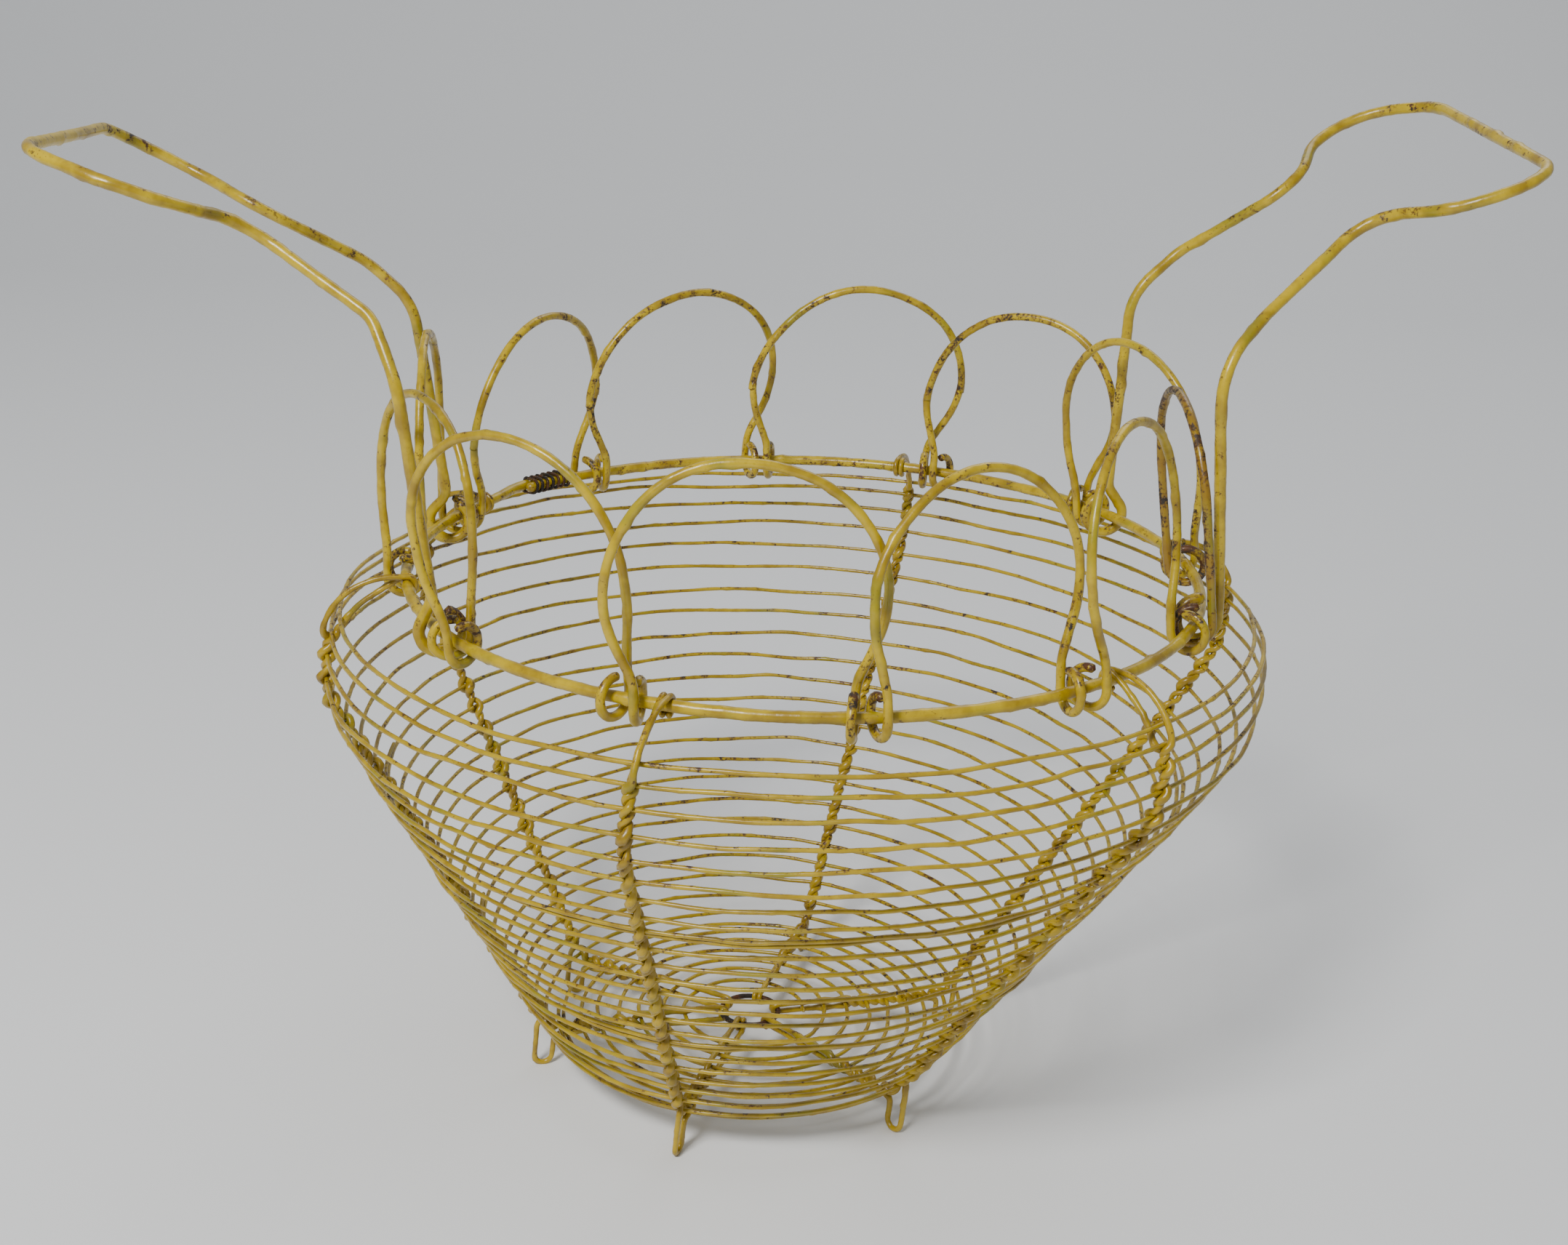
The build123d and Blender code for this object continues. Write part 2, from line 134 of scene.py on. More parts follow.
def arc(cx, cy, r, a0, a1):
    am = (a0 + a1) / 2
    return tuple((cx + r * cos(radians(a)), cy + r * sin(radians(a))) for a in (a0, am, a1))


slope = radians(WALL_SLOPE)
shoulder_low = SHOULDER_Z - 5.35          # where the wall meets the shoulder arc


def profile(s):
    """Radius and height of the winding, a distance s along the wall."""
    setback = CORNER_FILLET * tan((pi / 2 - slope) / 2)
    flat = BASE_CORNER_R - setback
    if s <= flat:
        return s, BASE_Z
    s -= flat
    turn = CORNER_FILLET * (pi / 2 - slope)
    if s <= turn:
        a = s / CORNER_FILLET
        return flat + CORNER_FILLET * sin(a), BASE_Z + CORNER_FILLET * (1 - cos(a))
    s -= turn
    r0 = BASE_CORNER_R + setback * sin(slope)
    z0 = BASE_Z + setback * cos(slope)
    r1 = RIM_R + SHOULDER * cos(slope)
    z1 = shoulder_low - SHOULDER * sin(slope)
    run = hypot(r1 - r0, z1 - z0)
    if s <= run:
        return r0 + (r1 - r0) * s / run, z0 + (z1 - z0) * s / run
    s -= run
    if s <= SHOULDER * slope:
        a = slope - s / SHOULDER
        return RIM_R + SHOULDER * cos(a), shoulder_low - SHOULDER * sin(a)
    s -= SHOULDER * slope
    if s <= SHOULDER_Z - shoulder_low:
        return BELLY_R, shoulder_low + s
    s -= SHOULDER_Z - shoulder_low
    a = s / SHOULDER
    return RIM_R + SHOULDER * cos(a), SHOULDER_Z + SHOULDER * sin(a)


def lean(z):
    """Sideways shift of the leaning body at height z."""
    return BODY_LEAN * (min(z, RIM_Z) - RIM_Z)


def turn_at(h):
    """Distance along the wall after h half turns."""
    i = min(int(h // 2), len(TURNS) - 2)
    f = h / 2 - i
    return TURNS[i] * (1 - f) + TURNS[i + 1] * f


def rib_place(angle, side):
    """In the plane of a rib, set off to its side; at is the height whose lean it takes."""
    a = radians(angle)
    c, s = cos(a), sin(a)

    def place(r, z, at=None):
        return (r * c - side * s + lean(z if at is None else at), r * s + side * c, z)
    return place


lift = GRIP / cos(slope)
outer_r = BELLY_R + GRIP
inner_r = BELLY_R - GRIP


def wall_z(r, shift):
    """Height where the wall line, moved outwards by shift, reaches radius r."""
    return BASE_Z + (r - BASE_CORNER_R - shift) / tan(slope)


# outer strand: hooked round the hub, under the base, down and up to make the
# foot, up outside the wall and over the rim ring
foot_z = STRAND_WIRE - FOOT_WEAR
outer_hub = arc(HUB_R, BASE_Z, GRIP, 60, 270)
outer_corners = [
    (HUB_R, BASE_Z - GRIP, BASE_Z),
    (FOOT_R - FOOT_HALF, BASE_Z - GRIP, BASE_Z),
    (FOOT_R - FOOT_HALF, foot_z),
    (FOOT_R + FOOT_HALF, foot_z),
    (FOOT_R + FOOT_HALF, wall_z(FOOT_R + FOOT_HALF, lift)),
    (outer_r, wall_z(outer_r, lift)),
    (outer_r, RIM_Z + HOOK_R),
    (RIM_R, RIM_Z + HOOK_R)]
outer_bends = [2.2, FOOT_HALF - 0.02, FOOT_HALF - 0.02, 5.0, SHOULDER + GRIP, SHOULDER + GRIP - 3.5]
outer_hook = arc(RIM_R, RIM_Z, HOOK_R, 90, 290)

# inner strand: hooked round the hub, over the base, up inside the wall and
# across to the rim ring above the last turn
psi = asin((SHOULDER - GRIP - HOOK_R) / (RIM_Z - SHOULDER_Z))
inner_hub = arc(HUB_R, BASE_Z, GRIP, 300, 90)
inner_hook = arc(RIM_R, RIM_Z, HOOK_R, degrees(psi), 290)
inner_corners = [
    (HUB_R, BASE_Z + GRIP, BASE_Z),
    (BASE_CORNER_R - lift + GRIP * tan(slope), BASE_Z + GRIP, BASE_Z),
    (inner_r, wall_z(inner_r, -lift)),
    (inner_r, SHOULDER_Z + (SHOULDER - GRIP) * tan(psi / 2)),
    (inner_hook[0][0] + 4 * sin(psi), inner_hook[0][1] - 4 * cos(psi), RIM_Z),
    (*inner_hook[0], RIM_Z)]
inner_bends = [CORNER_FILLET - GRIP, SHOULDER - GRIP, SHOULDER - GRIP + 4, 20.0]


def strand_path(hub, corners, bends, hook, place):
    """The strand's whole centreline, piece by piece."""
    return ([tuple(place(r, z, BASE_Z) for r, z in hub)]
            + filleted([place(*p) for p in corners], bends)
            + [tuple(place(r, z, RIM_Z) for r, z in hook)])


def hinge_place(mid_angle, axis_r, tip):
    """Local (along the hinge, outwards, up) to the basket, tipped outwards by tip degrees."""
    a, t = radians(mid_angle), radians(tip)
    c, s = cos(a), sin(a)

    def place(u, n, w):
        nn = n * cos(t) + w * sin(t)
        ww = w * cos(t) - n * sin(t)
        r = axis_r + nn
        return (r * c - u * s, r * s + u * c, RIM_Z + ww)
    return place


petal_u = RIM_R * sin(radians(PETAL_HALF_ANGLE))
petal_axis = RIM_R * cos(radians(PETAL_HALF_ANGLE))
petal_span = hypot(petal_u, PETAL_EYE)


handle_u = RIM_R * sin(radians(HANDLE_HALF_ANGLE))
handle_axis = RIM_R * cos(radians(HANDLE_HALF_ANGLE))


def leaving(n, w):
    """Angle round an eye where the straight wire to (n, w) leaves it."""
    return degrees(atan2(w, n) - acos(HANDLE_EYE / hypot(n, w)))



# ------------------------------------------------------------ centrelines
MM = 0.001
rng = np.random.default_rng(7)


def dense(segs, step):
    out = []
    for s in segs:
        s = [np.array(x, float) for x in s]
        if len(s) == 2:
            a, b = s
            n = max(2, int(np.linalg.norm(b - a) / step) + 1)
            out += [a + (b - a) * t for t in np.linspace(0, 1, n)]
        else:
            a, m, b = s
            e1, e2 = m - a, b - a
            nn = np.cross(e1, e2)
            A = np.array([2 * e1, 2 * e2, nn])
            c = np.linalg.solve(A, [m @ m - a @ a, b @ b - a @ a, nn @ a])
            r = np.linalg.norm(a - c)
            ex = (a - c) / r
            nz = nn / np.linalg.norm(nn)
            ey = np.cross(nz, ex)
            t = atan2((b - c) @ ey, (b - c) @ ex) % (2 * pi)
            n = max(4, int(t * r / step) + 1)
            out += [c + r * (cos(x) * ex + sin(x) * ey) for x in np.linspace(0, t, n)]
    P = np.array(out)
    keep = np.r_[True, np.linalg.norm(np.diff(P, axis=0), axis=1) > 1e-4]
    return P[keep]


def even(P, step):
    """The same line in equal steps."""
    d = np.r_[0, np.cumsum(np.linalg.norm(np.diff(P, axis=0), axis=1))]
    n = max(3, int(d[-1] / step) + 1)
    t = np.linspace(0, d[-1], n)
    return np.stack([np.interp(t, d, P[:, i]) for i in range(3)], 1), t


def wander(t, size, seed):
    """Smooth seeded noise along a length, roughly -1 to 1, features about size long."""
    g = np.random.default_rng(seed)
    n = int((t[-1] - t[0]) / size) + 4
    v = g.uniform(-1, 1, n)
    x = (t - t[0]) / size
    i = np.floor(x).astype(int)
    f = x - i
    f = f * f * (3 - 2 * f)
    return v[i] * (1 - f) + v[i + 1] * f


def frames(P):
    T = np.gradient(P, axis=0)
    T /= np.linalg.norm(T, axis=1)[:, None]
    N = np.zeros_like(P)
    a = np.array([0, 0, 1.0]) if abs(T[0][2]) < 0.9 else np.array([1.0, 0, 0])
    n = a - T[0] * (a @ T[0])
    N[0] = n / np.linalg.norm(n)
    for i in range(1, len(P)):
        n = N[i - 1] - T[i] * (N[i - 1] @ T[i])
        N[i] = n / np.linalg.norm(n)
    return T, N, np.cross(T, N)


def wire_mesh(name, P, radius, sides, seed, lump=0.05, blobs=0.0, blob_size=1.2, wear=None,
              swell=None, step=0.8, rough=0.4):
    """A painted wire: a tube with uneven enamel, blobs and a wear value at every vertex (mm in)."""
    P, t = even(P, step)
    T, N, B = frames(P)
    n = len(P)
    g = np.random.default_rng(seed)
    phi = np.linspace(0, 2 * pi, sides, endpoint=False)
    R = np.full((n, sides), float(radius))
    R *= 1 + lump * (0.6 * wander(t, 5.0, seed + 1) + 0.6 * wander(t, 1.9, seed + 2))[:, None]
    # the coat is thicker on one side, which side wanders along the wire
    turn = 3.0 * wander(t, 14.0, seed + 3)
    R += radius * lump * 0.8 * np.cos(phi[None, :] - turn[:, None])
    R += radius * rough * 0.05 * g.uniform(-1, 1, (n, sides))
    for _ in range(int(blobs * t[-1] / 100.0)):
        c, a, s, h = g.uniform(0, t[-1]), g.uniform(0, 2 * pi), blob_size * g.uniform(0.5, 1.3), g.uniform(0.1, 0.3)
        i0, i1 = np.searchsorted(t, [c - 3 * s, c + 3 * s])
        da = np.angle(np.exp(1j * (phi - a)))[None, :] * radius
        R[i0:i1] += radius * h * np.exp(-((t[i0:i1, None] - c) ** 2 + da ** 2) / (s * s))
    if swell is not None:
        R *= 1 + swell(t, P)[:, None]
    # rounded ends
    e = np.minimum(t, t[-1] - t)
    cap = np.sqrt(np.clip(1 - (1 - np.clip(e / (0.8 * radius), 0, 1)) ** 2, 0.02, 1))
    R *= cap[:, None]
    D = np.cos(phi)[None, :, None] * N[:, None, :] + np.sin(phi)[None, :, None] * B[:, None, :]
    V = (P[:, None, :] + D * R[:, :, None])
    W = np.zeros((n, sides)) if wear is None else wear(t[:, None], P[:, None, :] + 0 * D, D)
    verts = V.reshape(-1, 3) * MM
    i = np.arange(n - 1)[:, None] * sides
    j = np.arange(sides)[None, :]
    k = (j + 1) % sides
    F = np.stack([i + j, i + k, i + sides + k, i + sides + j], -1).reshape(-1, 4)
    faces = F.tolist()
    faces.append(list(range(sides - 1, -1, -1)))
    faces.append([(n - 1) * sides + q for q in range(sides)])
    me = bpy.data.meshes.new(name)
    me.from_pydata(verts.tolist(), [], faces)
    me.polygons.foreach_set("use_smooth", [True] * len(me.polygons))
    at = me.attributes.new("wear", "FLOAT", "POINT")
    at.data.foreach_set("value", np.clip(W, 0, 1).astype(np.float32).reshape(-1))
    me.update()
    ob = bpy.data.objects.new(name, me)
    bpy.context.scene.collection.objects.link(ob)
    return ob


# --------------------------------------------------------------- finishes
def srgb(r, g, b):
    f = lambda c: (c / 255 / 12.92) if c / 255 <= 0.04045 else ((c / 255 + 0.055) / 1.055) ** 2.4
    return (f(r), f(g), f(b), 1.0)


def finish_for(name, chips, yellow, deep, olive, metal, rust, gloss=0.32, bump=0.25):
    m = bpy.data.materials.new(name)
    m.use_nodes = True
    nt = m.node_tree
    nt.nodes.clear()
    L = nt.links.new

    def node(kind, **kw):
        x = nt.nodes.new(kind)
        for k, v in kw.items():
            setattr(x, k, v)
        return x

    def noise(scale, detail, off, rough=0.6):
        mp = node("ShaderNodeMapping")
        mp.inputs["Location"].default_value = (off, off * 1.7, off * 0.3)
        L(tc.outputs["Object"], mp.inputs["Vector"])
        x = node("ShaderNodeTexNoise")
        x.inputs["Scale"].default_value = scale
        x.inputs["Detail"].default_value = detail
        x.inputs["Roughness"].default_value = rough
        L(mp.outputs["Vector"], x.inputs["Vector"])
        return x.outputs["Fac"]

    def math(op, a, b, clamp=False):
        x = node("ShaderNodeMath", operation=op, use_clamp=clamp)
        for s, v in zip(x.inputs, (a, b)):
            if isinstance(v, (int, float)):
                s.default_value = v
            else:
                L(v, s)
        return x.outputs[0]

    def ramp(v, lo, hi):
        x = node("ShaderNodeMapRange", clamp=True, interpolation_type="SMOOTHSTEP")
        x.inputs["From Min"].default_value = lo
        x.inputs["From Max"].default_value = hi
        L(v, x.inputs["Value"])
        return x.outputs["Result"]

    def mix(f, a, b):
        x = node("ShaderNodeMix", data_type="RGBA")
        L(f, x.inputs[0])
        for s, v in ((x.inputs[6], a), (x.inputs[7], b)):
            if isinstance(v, tuple):
                s.default_value = v
            else:
                L(v, s)
        return x.outputs[2]

    tc = node("ShaderNodeTexCoord")
    wear = node("ShaderNodeAttribute", attribute_name="wear", attribute_type="GEOMETRY").outputs["Fac"]
    tone = mix(ramp(noise(110, 3, 1.0), 0.35, 0.68), yellow, deep)
    # painted shade: olive-brown patches, at random places on every wire, standing in for the shaded olive-brown look of
    # the thin far windings
    tone = mix(math("MULTIPLY", ramp(noise(55, 3, 4.0), 0.52, 0.72), 0.55), tone, olive)
    speck = ramp(noise(900, 2, 9.0), 0.60, 0.72)
    tone = mix(math("MULTIPLY", speck, 0.35), tone, deep)
    # chips: fine ragged patches, more where the wire is worn
    field = math("ADD", math("MULTIPLY", noise(330, 6, 2.0, 0.7), 0.65), math("MULTIPLY", noise(1200, 3, 3.0), 0.35))
    field = math("ADD", field, math("MULTIPLY", wear, 0.24))
    field = math("ADD", field, math("MULTIPLY", math("SUBTRACT", noise(38, 2, 6.0), 0.5), 0.28))
    mask = ramp(field, chips, chips + 0.035)
    edge = math("SUBTRACT", ramp(field, chips - 0.045, chips), mask, True)
    bare = mix(ramp(math("ADD", noise(260, 4, 5.0), math("MULTIPLY", wear, 0.12)), 0.47, 0.66), metal, rust)
    col = mix(math("MULTIPLY", edge, 0.75), tone, rust)
    col = mix(mask, col, bare)
    bs = node("ShaderNodeBsdfPrincipled")
    L(col, bs.inputs["Base Color"])
    rg = math("ADD", math("MULTIPLY", mask, 0.30), math("ADD", math("MULTIPLY", noise(300, 3, 8.0), 0.22), gloss - 0.11))
    L(rg, bs.inputs["Roughness"])
    L(math("MULTIPLY", mask, 0.35), bs.inputs["Metallic"])
    bs.inputs["Coat Weight"].default_value = 0.15
    bs.inputs["Coat Roughness"].default_value = 0.2
    hgt = math("SUBTRACT", math("ADD", math("MULTIPLY", noise(420, 4, 7.0), 0.6), math("MULTIPLY", noise(1500, 2, 7.7), 0.2)),
               math("MULTIPLY", mask, 0.5))
    bp = node("ShaderNodeBump")
    bp.inputs["Strength"].default_value = bump
    bp.inputs["Distance"].default_value = 0.0006
    L(hgt, bp.inputs["Height"])
    L(bp.outputs["Normal"], bs.inputs["Normal"])
    out = node("ShaderNodeOutputMaterial")
    L(bs.outputs["BSDF"], out.inputs["Surface"])
    return m


# OLIVE is a painted shade tone for the shaded look of the thin far windings, mixed in at random places
YEL, DEEP, OLIVE = srgb(192, 164, 6), srgb(146, 118, 4), srgb(118, 120, 18)
METAL, RUST, DARK = srgb(52, 45, 38), srgb(86, 50, 20), srgb(36, 29, 23)
ENAMEL = finish_for("thick_enamel", 0.64, YEL, DEEP, OLIVE, METAL, RUST)
PETALS_MAT = finish_for("petal_enamel", 0.63, YEL, DEEP, OLIVE, METAL, RUST)
PETAL_WORN = finish_for("petal_enamel_worn", 0.57, DEEP, srgb(130, 98, 14), OLIVE, METAL, RUST)
THIN = finish_for("thin_enamel", 0.655, srgb(180, 152, 6), DEEP, OLIVE, METAL, RUST, bump=0.2)
RIB = finish_for("rib_enamel", 0.655, srgb(180, 150, 6), srgb(132, 104, 5), OLIVE, METAL, RUST)
WIRE = finish_for("dark_bound_wire", 0.45, srgb(120, 92, 24), srgb(84, 60, 20), OLIVE, DARK, RUST, gloss=0.45)


# ---------------------------------------------------------------- pieces
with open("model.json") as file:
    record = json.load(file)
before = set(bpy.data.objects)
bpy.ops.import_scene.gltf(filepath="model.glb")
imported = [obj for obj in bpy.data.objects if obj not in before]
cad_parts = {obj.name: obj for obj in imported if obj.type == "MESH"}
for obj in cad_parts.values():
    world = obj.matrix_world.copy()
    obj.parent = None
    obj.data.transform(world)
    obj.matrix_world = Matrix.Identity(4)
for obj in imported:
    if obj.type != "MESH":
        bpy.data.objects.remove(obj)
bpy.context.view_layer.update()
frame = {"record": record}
body_of = {}
for body, names in frame["record"]["behaviour"]["bodies"].items():
    for nd in names:
        body_of[nd] = body


def stand_for(ob, node, mat):
    ob.data.materials.append(mat)
    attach(ob, body_of[node])
    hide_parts(node)
    return ob


def outward(P, D):
    """How far a surface direction points away from the basket's axis."""
    r = P[..., :2] / np.maximum(np.linalg.norm(P[..., :2], axis=-1, keepdims=True), 1e-6)
    return (D[..., :2] * r).sum(-1)


def wear_thin(t, P, D):
    return 0.30 * np.clip(D[..., 2], 0, 1) + 0.22 * np.clip(-outward(P, D), 0, 1)


def wear_rim(t, P, D):
    return 0.35 * np.clip(-D[..., 2] - 0.2, 0, 1) + 0.25 * np.clip(-outward(P, D), 0, 1)


# rim ring with its lapped ends
a = np.radians(np.arange(RIM_START, LAP_END - 360, -0.3))
x = np.clip((np.radians(LAP_FROM - 360) - a) / radians(10.0), 0, 1)
rr = RIM_R + (LAP_R - RIM_R) * x * x * (3 - 2 * x)
ring_line = np.stack([rr * np.cos(a), rr * np.sin(a), RIM_Z + 0 * a], 1)
stand_for(wire_mesh("rim_ring_wire", ring_line, RIM_WIRE, 16, 11, 0.06, 6, 1.6, wear_rim), "rim_ring", ENAMEL)

# binding round the lap: one wire wound seven times
t = np.linspace(0, 2 * pi * 7, 7 * 40)
ang = np.radians(133.2 + 1.15 * t / (2 * pi))
half = (LAP_R - RIM_R) / 2
lr = RIM_WIRE + 0.5
c, s = np.cos(t), np.sin(t)
br = RIM_R + half + np.sign(c) * half * np.minimum(1, np.abs(c) * 3) + lr * c
bz = RIM_Z + lr * s
wob = 1 + 0.04 * np.sin(t * 0.37 + 1)
stand_for(wire_mesh("rim_binding_wire", np.stack([br * np.cos(ang * wob ** 0), br * np.sin(ang), bz], 1),
                    0.48, 8, 12, 0.1, 20, 0.5, wear_thin, step=0.5), "rim_binding", WIRE)


# winding, slightly uneven between the ribs
def winding(h0, h1, early, seed):
    P = []
    for h in range(h0 - (1 if early else 0), h1):
        s0, s1 = turn_at(h), turn_at(h + 1)
        if early and h == h0 - 1:
            s0, s1 = s0 + LAP_GAP, s1 + LAP_GAP
        elif early and h == h0:
            s0 = s0 + LAP_GAP
        side = 1 if h % 2 == 0 else -1
        r0, z0 = profile(s0)
        r1, z1 = profile(s1)
        A = np.array((side * r0 + lean(z0), 0, z0))
        B = np.array((lean(z1) - side * r1, 0, z1))
        C = (A + B) / 2
        ex = (A - B) / 2
        rad = np.linalg.norm(ex)
        n = max(40, int(rad * pi / 1.2))
        for k in range(n):
            q = pi * k / n
            P.append(C + ex * cos(q) + np.array([0, side * rad * sin(q), 0]))
    P = np.array(P)
    d = np.r_[0, np.cumsum(np.linalg.norm(np.diff(P, axis=0), axis=1))]
    az = np.degrees(np.arctan2(P[:, 1], P[:, 0] - lean(BASE_Z) * 0.5))
    near = np.min([np.abs((az - ra + 180) % 360 - 180) for ra in RIB_ANGLES], axis=0)
    free = np.clip(near / 12.0, 0, 1) ** 2
    flat = np.clip((P[:, 2] - 13) / 12, 0, 1)
    up = free * (0.9 * wander(d, 34, seed) + 0.35 * wander(d, 12, seed + 1))
    out = free * (0.5 * wander(d, 40, seed + 2))
    hr = P[:, :2] - np.stack([lean(P[:, 2].clip(0, 161)) if False else BODY_LEAN * (P[:, 2] - RIM_Z), 0 * d], 1)
    u = hr / np.maximum(np.linalg.norm(hr, axis=1)[:, None], 1e-6)
    Q = P.copy()
    Q[:, 2] += up * (0.3 + 0.6 * flat)
    Q[:, :2] += u * (up * (1 - flat) * 0.7 + out)[:, None]
    return Q


for nd, h0, h1, early, seed in (("base_winding", 0, 14, False, 21), ("lower_winding", 14, 28, True, 31),
                                ("middle_winding", 28, 44, True, 41), ("upper_winding", 44, 60, True, 51)):
    ob = wire_mesh(nd + "_wire", winding(h0, h1, early, seed), THIN_WIRE * 1.06, 8, seed, 0.09, 14, 0.9, wear_thin, step=1.0)
    stand_for(ob, nd, THIN)

# hub: the strands' hooks sit on a small ring wound with wire
t = np.linspace(0, 2 * pi, 60)
hub_line = np.stack([lean(BASE_Z) + HUB_R * np.cos(t), HUB_R * np.sin(t), BASE_Z + 0 * t], 1)
stand_for(wire_mesh("hub_ring_wire", hub_line, 0.8, 8, 61, 0.1, 10, 0.6, wear_thin, step=0.6), "hub_ring", WIRE)


# ribs: two strands twisted full turns round each other between the wound wires
def crossings(angle):
    """Distances along the wall where the wound wire passes a rib."""
    s = []
    for i in range(30):
        h = 2 * i + (angle % 360) / 180
        s.append(turn_at(h))
    return np.array(s)


def rib_pair(number, angle):
    cs = crossings(angle)
    outer = dense(strand_path(outer_hub, outer_corners, outer_bends, outer_hook, rib_place(angle, STRAND_SIDE)), 0.5)
    inner = dense(strand_path(inner_hub, inner_corners, inner_bends, inner_hook, rib_place(angle, -STRAND_SIDE)), 0.5)
    a = radians(angle)
    rad, tan_ = np.array([cos(a), sin(a), 0]), np.array([-sin(a), cos(a), 0])
    grid = np.arange(12, 224, 0.25)
    prof = np.array([profile(q) for q in grid])
    mid = np.array([[r * cos(a) + lean(z), r * sin(a), z] for r, z in prof])
    dp = np.gradient(prof, axis=0)
    dp /= np.linalg.norm(dp, axis=1)[:, None]
    nrm = dp[:, 1][:, None] * rad[None, :] + (-dp[:, 0])[:, None] * np.array([0, 0, 1.0])[None, :]
    made = []
    for nm, line, sg in (("outer", outer, 1), ("inner", inner, -1)):
        line, _ = even(line, 0.6)
        # nearest place on the wall for every point of the strand
        d2 = ((line[:, None, :] - mid[None, ::4, :]) ** 2).sum(2)
        k = d2.argmin(1) * 4
        dmin = np.sqrt(d2.min(1))
        s = grid[np.minimum(k, len(grid) - 1)]
        # smooth place along the wall, and phase between crossings
        idx = np.clip(np.searchsorted(cs, s) - 1, 0, len(cs) - 2)
        f = np.clip((s - cs[idx]) / np.maximum(cs[idx + 1] - cs[idx], 1e-6), 0, 1)
        inside = ((dmin < 3.0) & (s > cs[2]) & (s < 222) & ((line[:, 2] > 13.2) | (np.linalg.norm(line[:, :2] - [lean(BASE_Z), 0], axis=1) < 56))).astype(float)
        ker = np.ones(9) / 9
        inside = np.convolve(inside, ker, mode="same")
        inside = np.clip(2 * inside - 1, 0, 1)
        ph = 2 * pi * f
        amp = 0.80 + 0.30 * np.cos(ph).clip(0, 1)
        o_n = sg * (GRIP * (0.5 + 0.5 * np.cos(ph)) ** 2 + 0.85 * np.cos(ph) * (1 - (0.5 + 0.5 * np.cos(ph)) ** 2))
        o_t = sg * (STRAND_SIDE * 0.6 * np.cos(ph) ** 2 + 0.95 * np.sin(ph))
        target = mid[k] + nrm[k] * o_n[:, None] + tan_[None, :] * o_t[:, None]
        # keep each point's own place along the wall so that the line stays even
        along = (line - mid[k])
        along = dp[k][:, 0] * (along @ rad) + dp[k][:, 1] * along[:, 2]
        dirn = dp[k][:, 0][:, None] * rad[None, :] + dp[k][:, 1][:, None] * np.array([0, 0, 1.0])[None, :]
        target = target + dirn * along[:, None]
        P = line * (1 - inside[:, None]) + target * inside[:, None]
        # nodules of paint where the strands grip the wound wire
        def swell(tt, Q, cs=cs, mid=mid, grid=grid, seed=70 + number * 2 + (sg > 0)):
            g = np.random.default_rng(seed)
            c = np.array([mid[min(int((v - 12) / 0.25), len(mid) - 1)] for v in cs if v > 20])
            hgt = g.uniform(0.20, 0.60, len(c))
            d = ((Q[:, None, :] - c[None, :, :]) ** 2).sum(2)
            near = np.exp(-d / (2.1 ** 2) + 0.55)
            return np.minimum((near * hgt[None, :]).sum(1), 0.62)
        k3 = np.ones(3) / 3
        P[1:-1] = (P[:-2] + 2 * P[1:-1] + P[2:]) / 4
        ob = wire_mesh(f"rib_{number}_{nm}_wire", P, STRAND_WIRE * 1.14, 8, 80 + number * 2 + (sg > 0), 0.10, 25, 0.8,
                       wear_thin, swell=swell, step=0.55)
        z = np.empty(len(ob.data.vertices) * 3)
        ob.data.vertices.foreach_get("co", z)
        z[2::3] = np.maximum(z[2::3], 0.00002)
        ob.data.vertices.foreach_set("co", z)
        stand_for(ob, f"rib_{number}_{nm}_strand", RIB)


for number, angle in enumerate(RIB_ANGLES, start=1):
    rib_pair(number, angle)


# petals
def end_wear(total, reach=22.0, level=0.42):
    def w(t, P, D):
        e = np.minimum(t, total - t)
        return level * np.clip(1 - e / reach, 0, 1) + 0.25 * np.clip(-outward(P, D), 0, 1) + 0.12 * np.clip(D[..., 2], 0, 1)
    return w


for number, (inward, half_width, top, set_over) in enumerate(PETALS, start=1):
    place = hinge_place(FIRST_JUNCTION + 15 - 30 * (number - 1), petal_axis, -inward)
    side = set_over * 22 / top
    tilt = atan2(set_over - side, top - 22)
    corners = [(-petal_span, 0), (-petal_span, 7), (side - half_width, 22), (set_over - half_width, top),
               (set_over + half_width, top), (side + half_width, 22), (petal_span, 7), (petal_span, 0)]
    arch = filleted(corners, [15, 30, 0.999 * half_width * tan(pi / 4 + tilt / 2),
                              0.999 * half_width * tan(pi / 4 - tilt / 2), 30, 15])
    segs = [tuple(place(petal_u, n, w) for n, w in arc(0, 0, PETAL_EYE, 112, -180))]
    segs += [tuple(place(-p[0] * petal_u / petal_span, p[0] * PETAL_EYE / petal_span, p[1]) for p in sg) for sg in arch]
    segs += [tuple(place(-petal_u, n, w) for n, w in arc(0, 0, PETAL_EYE, 0, -292))]
    line, t = even(dense(segs, 0.6), 0.7)
    total = t[-1]
    # hand-bent: the arch wanders a little away from the eyes
    free = np.clip((np.minimum(t, total - t) - 42) / 25, 0, 1)
    a = radians(FIRST_JUNCTION + 15 - 30 * (number - 1))
    line = line + (free * 0.9 * wander(t, 30, 300 + number))[:, None] * np.array([-sin(a), cos(a), 0.0])[None, :]
    line[:, 2] += free * 0.7 * wander(t, 26, 330 + number)
    ob = wire_mesh(f"petal_{number:02d}_wire", line, PETAL_WIRE, 12, 100 + 5 * number, 0.07, 9, 1.3, end_wear(total), step=0.7)
    stand_for(ob, f"petal_{number:02d}", PETAL_WORN if number in (6,) else PETALS_MAT)


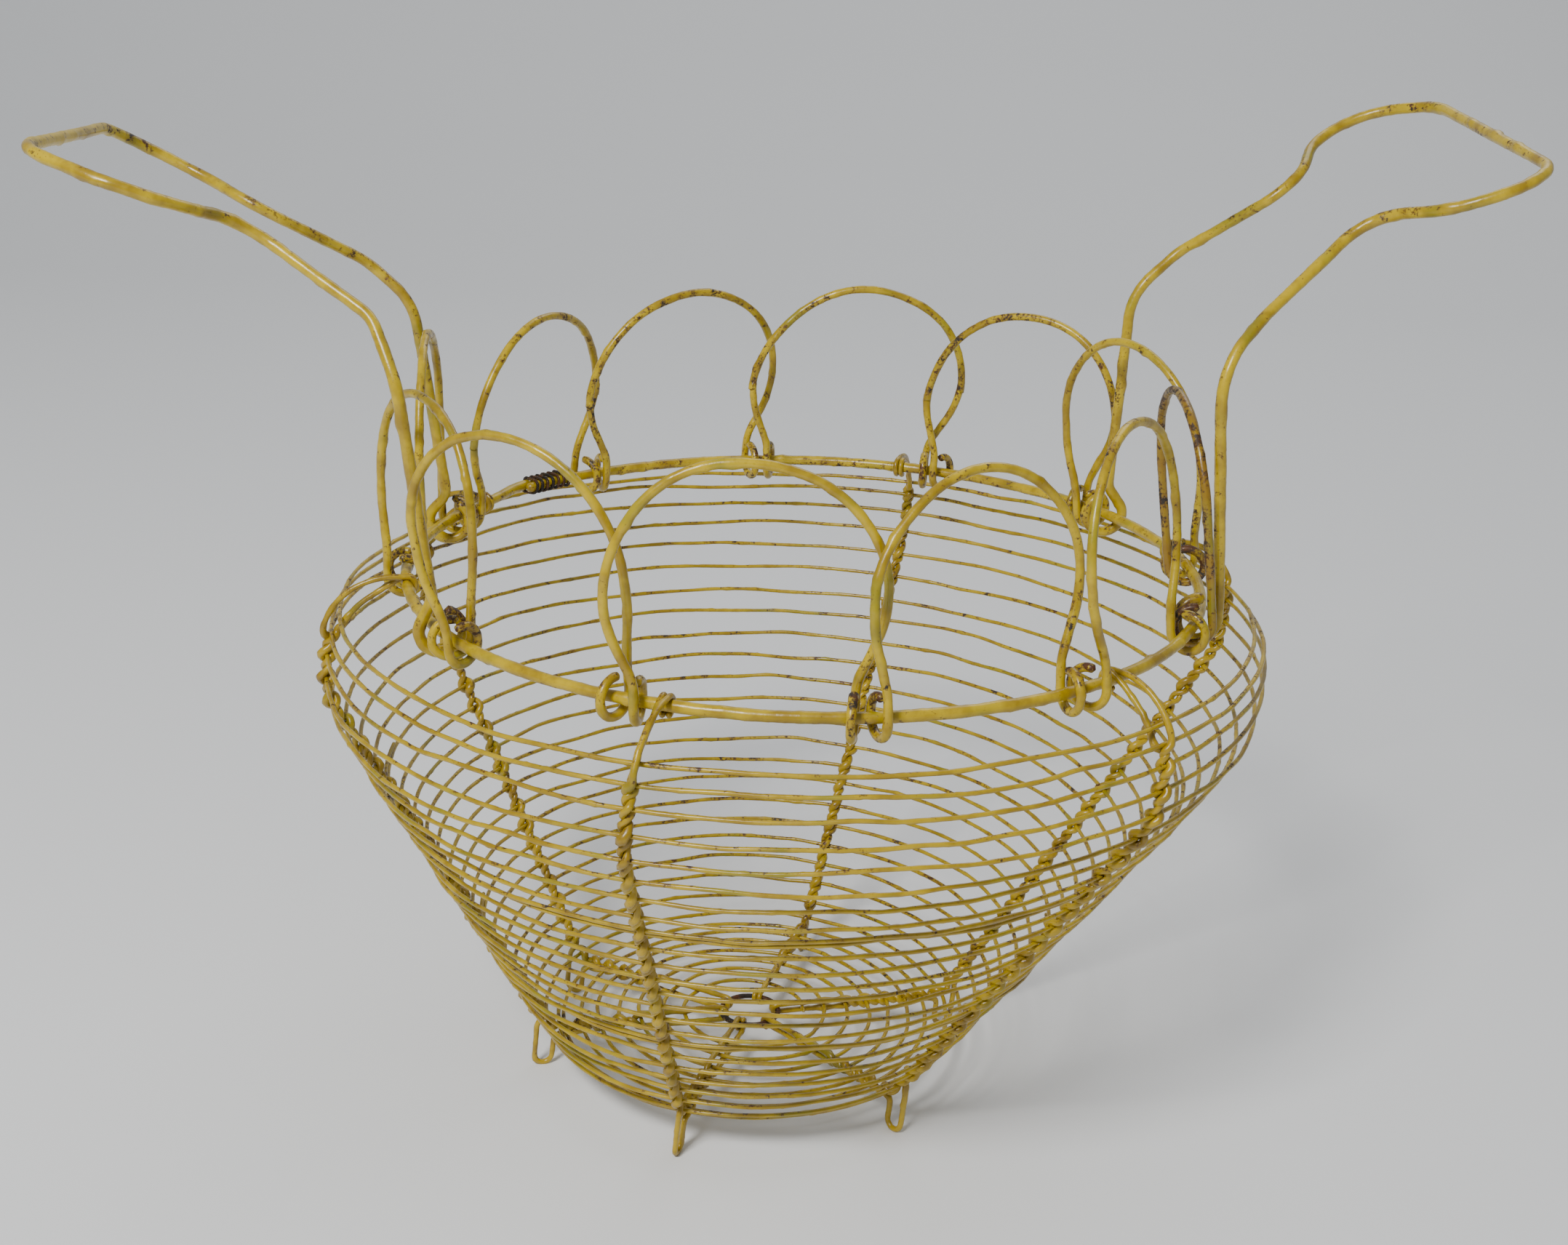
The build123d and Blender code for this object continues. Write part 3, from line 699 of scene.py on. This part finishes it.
# handles
for nd, mid_angle, points, tip, seed in (("handle_right", FIRST_JUNCTION - 120, RIGHT_LINE, RIGHT_TIP, 401),
                                         ("handle_left", FIRST_JUNCTION - 300, LEFT_LINE, LEFT_TIP, 411)):
    place = hinge_place(mid_angle, handle_axis, tip)

    def on_eye(u, ang):
        return (u, HANDLE_EYE * cos(radians(ang)), HANDLE_EYE * sin(radians(ang)))

    def eye(u, a0, a1):
        return tuple(on_eye(u, q) for q in (a0, (a0 + a1) / 2, a1))

    first, last = leaving(*points[0][1:]), leaving(*points[-1][1:])
    segs = [eye(-handle_u, first - 290, first)]
    segs += filleted([on_eye(-handle_u, first), *points, on_eye(handle_u, last)], HANDLE_BENDS)
    segs += [eye(handle_u, last, last - 290)]
    line, t = even(dense([tuple(place(*p) for p in sg) for sg in segs], 0.6), 0.8)
    ob = wire_mesh(nd + "_wire", line, HANDLE_WIRE, 16, seed, 0.055, 7, 1.7, end_wear(t[-1], 30, 0.4), step=0.8)
    stand_for(ob, nd, ENAMEL)

# ----------------------------------------------------------------- stage
floor_me = bpy.data.meshes.new("studio_floor")
pts, fcs = [], []
prof2 = [(-3.0, 0.0), (1.2, 0.0)] + [(1.2 + 1.0 * sin(q), 1.0 - 1.0 * cos(q)) for q in np.linspace(0.15, pi / 2, 8)] + [(2.2, 4.0)]
for y, z in prof2:
    pts += [(-6.0, y, z), (6.0, y, z)]
for i in range(len(prof2) - 1):
    fcs.append((2 * i, 2 * i + 1, 2 * i + 3, 2 * i + 2))
floor_me.from_pydata(pts, [], fcs)
floor_me.polygons.foreach_set("use_smooth", [True] * len(fcs))
floor = bpy.data.objects.new("studio_floor", floor_me)
bpy.context.scene.collection.objects.link(floor)
fm = bpy.data.materials.new("studio_paper")
fm.use_nodes = True
fb = fm.node_tree.nodes["Principled BSDF"]
fb.inputs["Base Color"].default_value = (0.80, 0.81, 0.82, 1)
fb.inputs["Roughness"].default_value = 0.75
floor_me.materials.append(fm)

wd = bpy.data.worlds.new("studio")
bpy.context.scene.world = wd
wd.use_nodes = True
wd.node_tree.nodes["Background"].inputs["Color"].default_value = (0.93, 0.96, 1.0, 1)
wd.node_tree.nodes["Background"].inputs["Strength"].default_value = 0.36


def lamp(name, loc, aim, size, power, tint=(1, 1, 1)):
    ld = bpy.data.lights.new(name, "AREA")
    ld.shape = "DISK"
    ld.size = size
    ld.energy = power
    ld.color = tint
    lo = bpy.data.objects.new(name, ld)
    bpy.context.scene.collection.objects.link(lo)
    lo.location = loc
    d = Vector(aim) - Vector(loc)
    lo.rotation_euler = d.to_track_quat("-Z", "Y").to_euler()


lamp("key_light", (-0.55, -1.1, 1.35), (0, 0, 0.12), 0.45, 30, (1, 0.985, 0.96))
lamp("back_light", (0.5, 1.2, 1.5), (0, 0, 0.1), 1.2, 7)

# ---------------------------------------------------------------- camera
yaw, pitch, roll = -0.00885, 0.35023, 0.030476
fwd = np.array([sin(yaw) * cos(pitch), cos(yaw) * cos(pitch), -sin(pitch)])
right = np.array([cos(yaw), -sin(yaw), 0.0])
upv = np.cross(right, fwd)
r2 = cos(roll) * right + sin(roll) * upv
u2 = -sin(roll) * right + cos(roll) * upv
cam_data = bpy.data.cameras.new("photo_camera")
cam_data.lens = 49.23
cam_data.sensor_width = 36
cam_data.clip_start = 0.01
cam = bpy.data.objects.new("photo_camera", cam_data)
bpy.context.scene.collection.objects.link(cam)
cam.matrix_world = Matrix(((r2[0], u2[0], -fwd[0], 0.0), (r2[1], u2[1], -fwd[1], -0.597),
                           (r2[2], u2[2], -fwd[2], 0.3615), (0, 0, 0, 1)))
bpy.context.scene.camera = cam
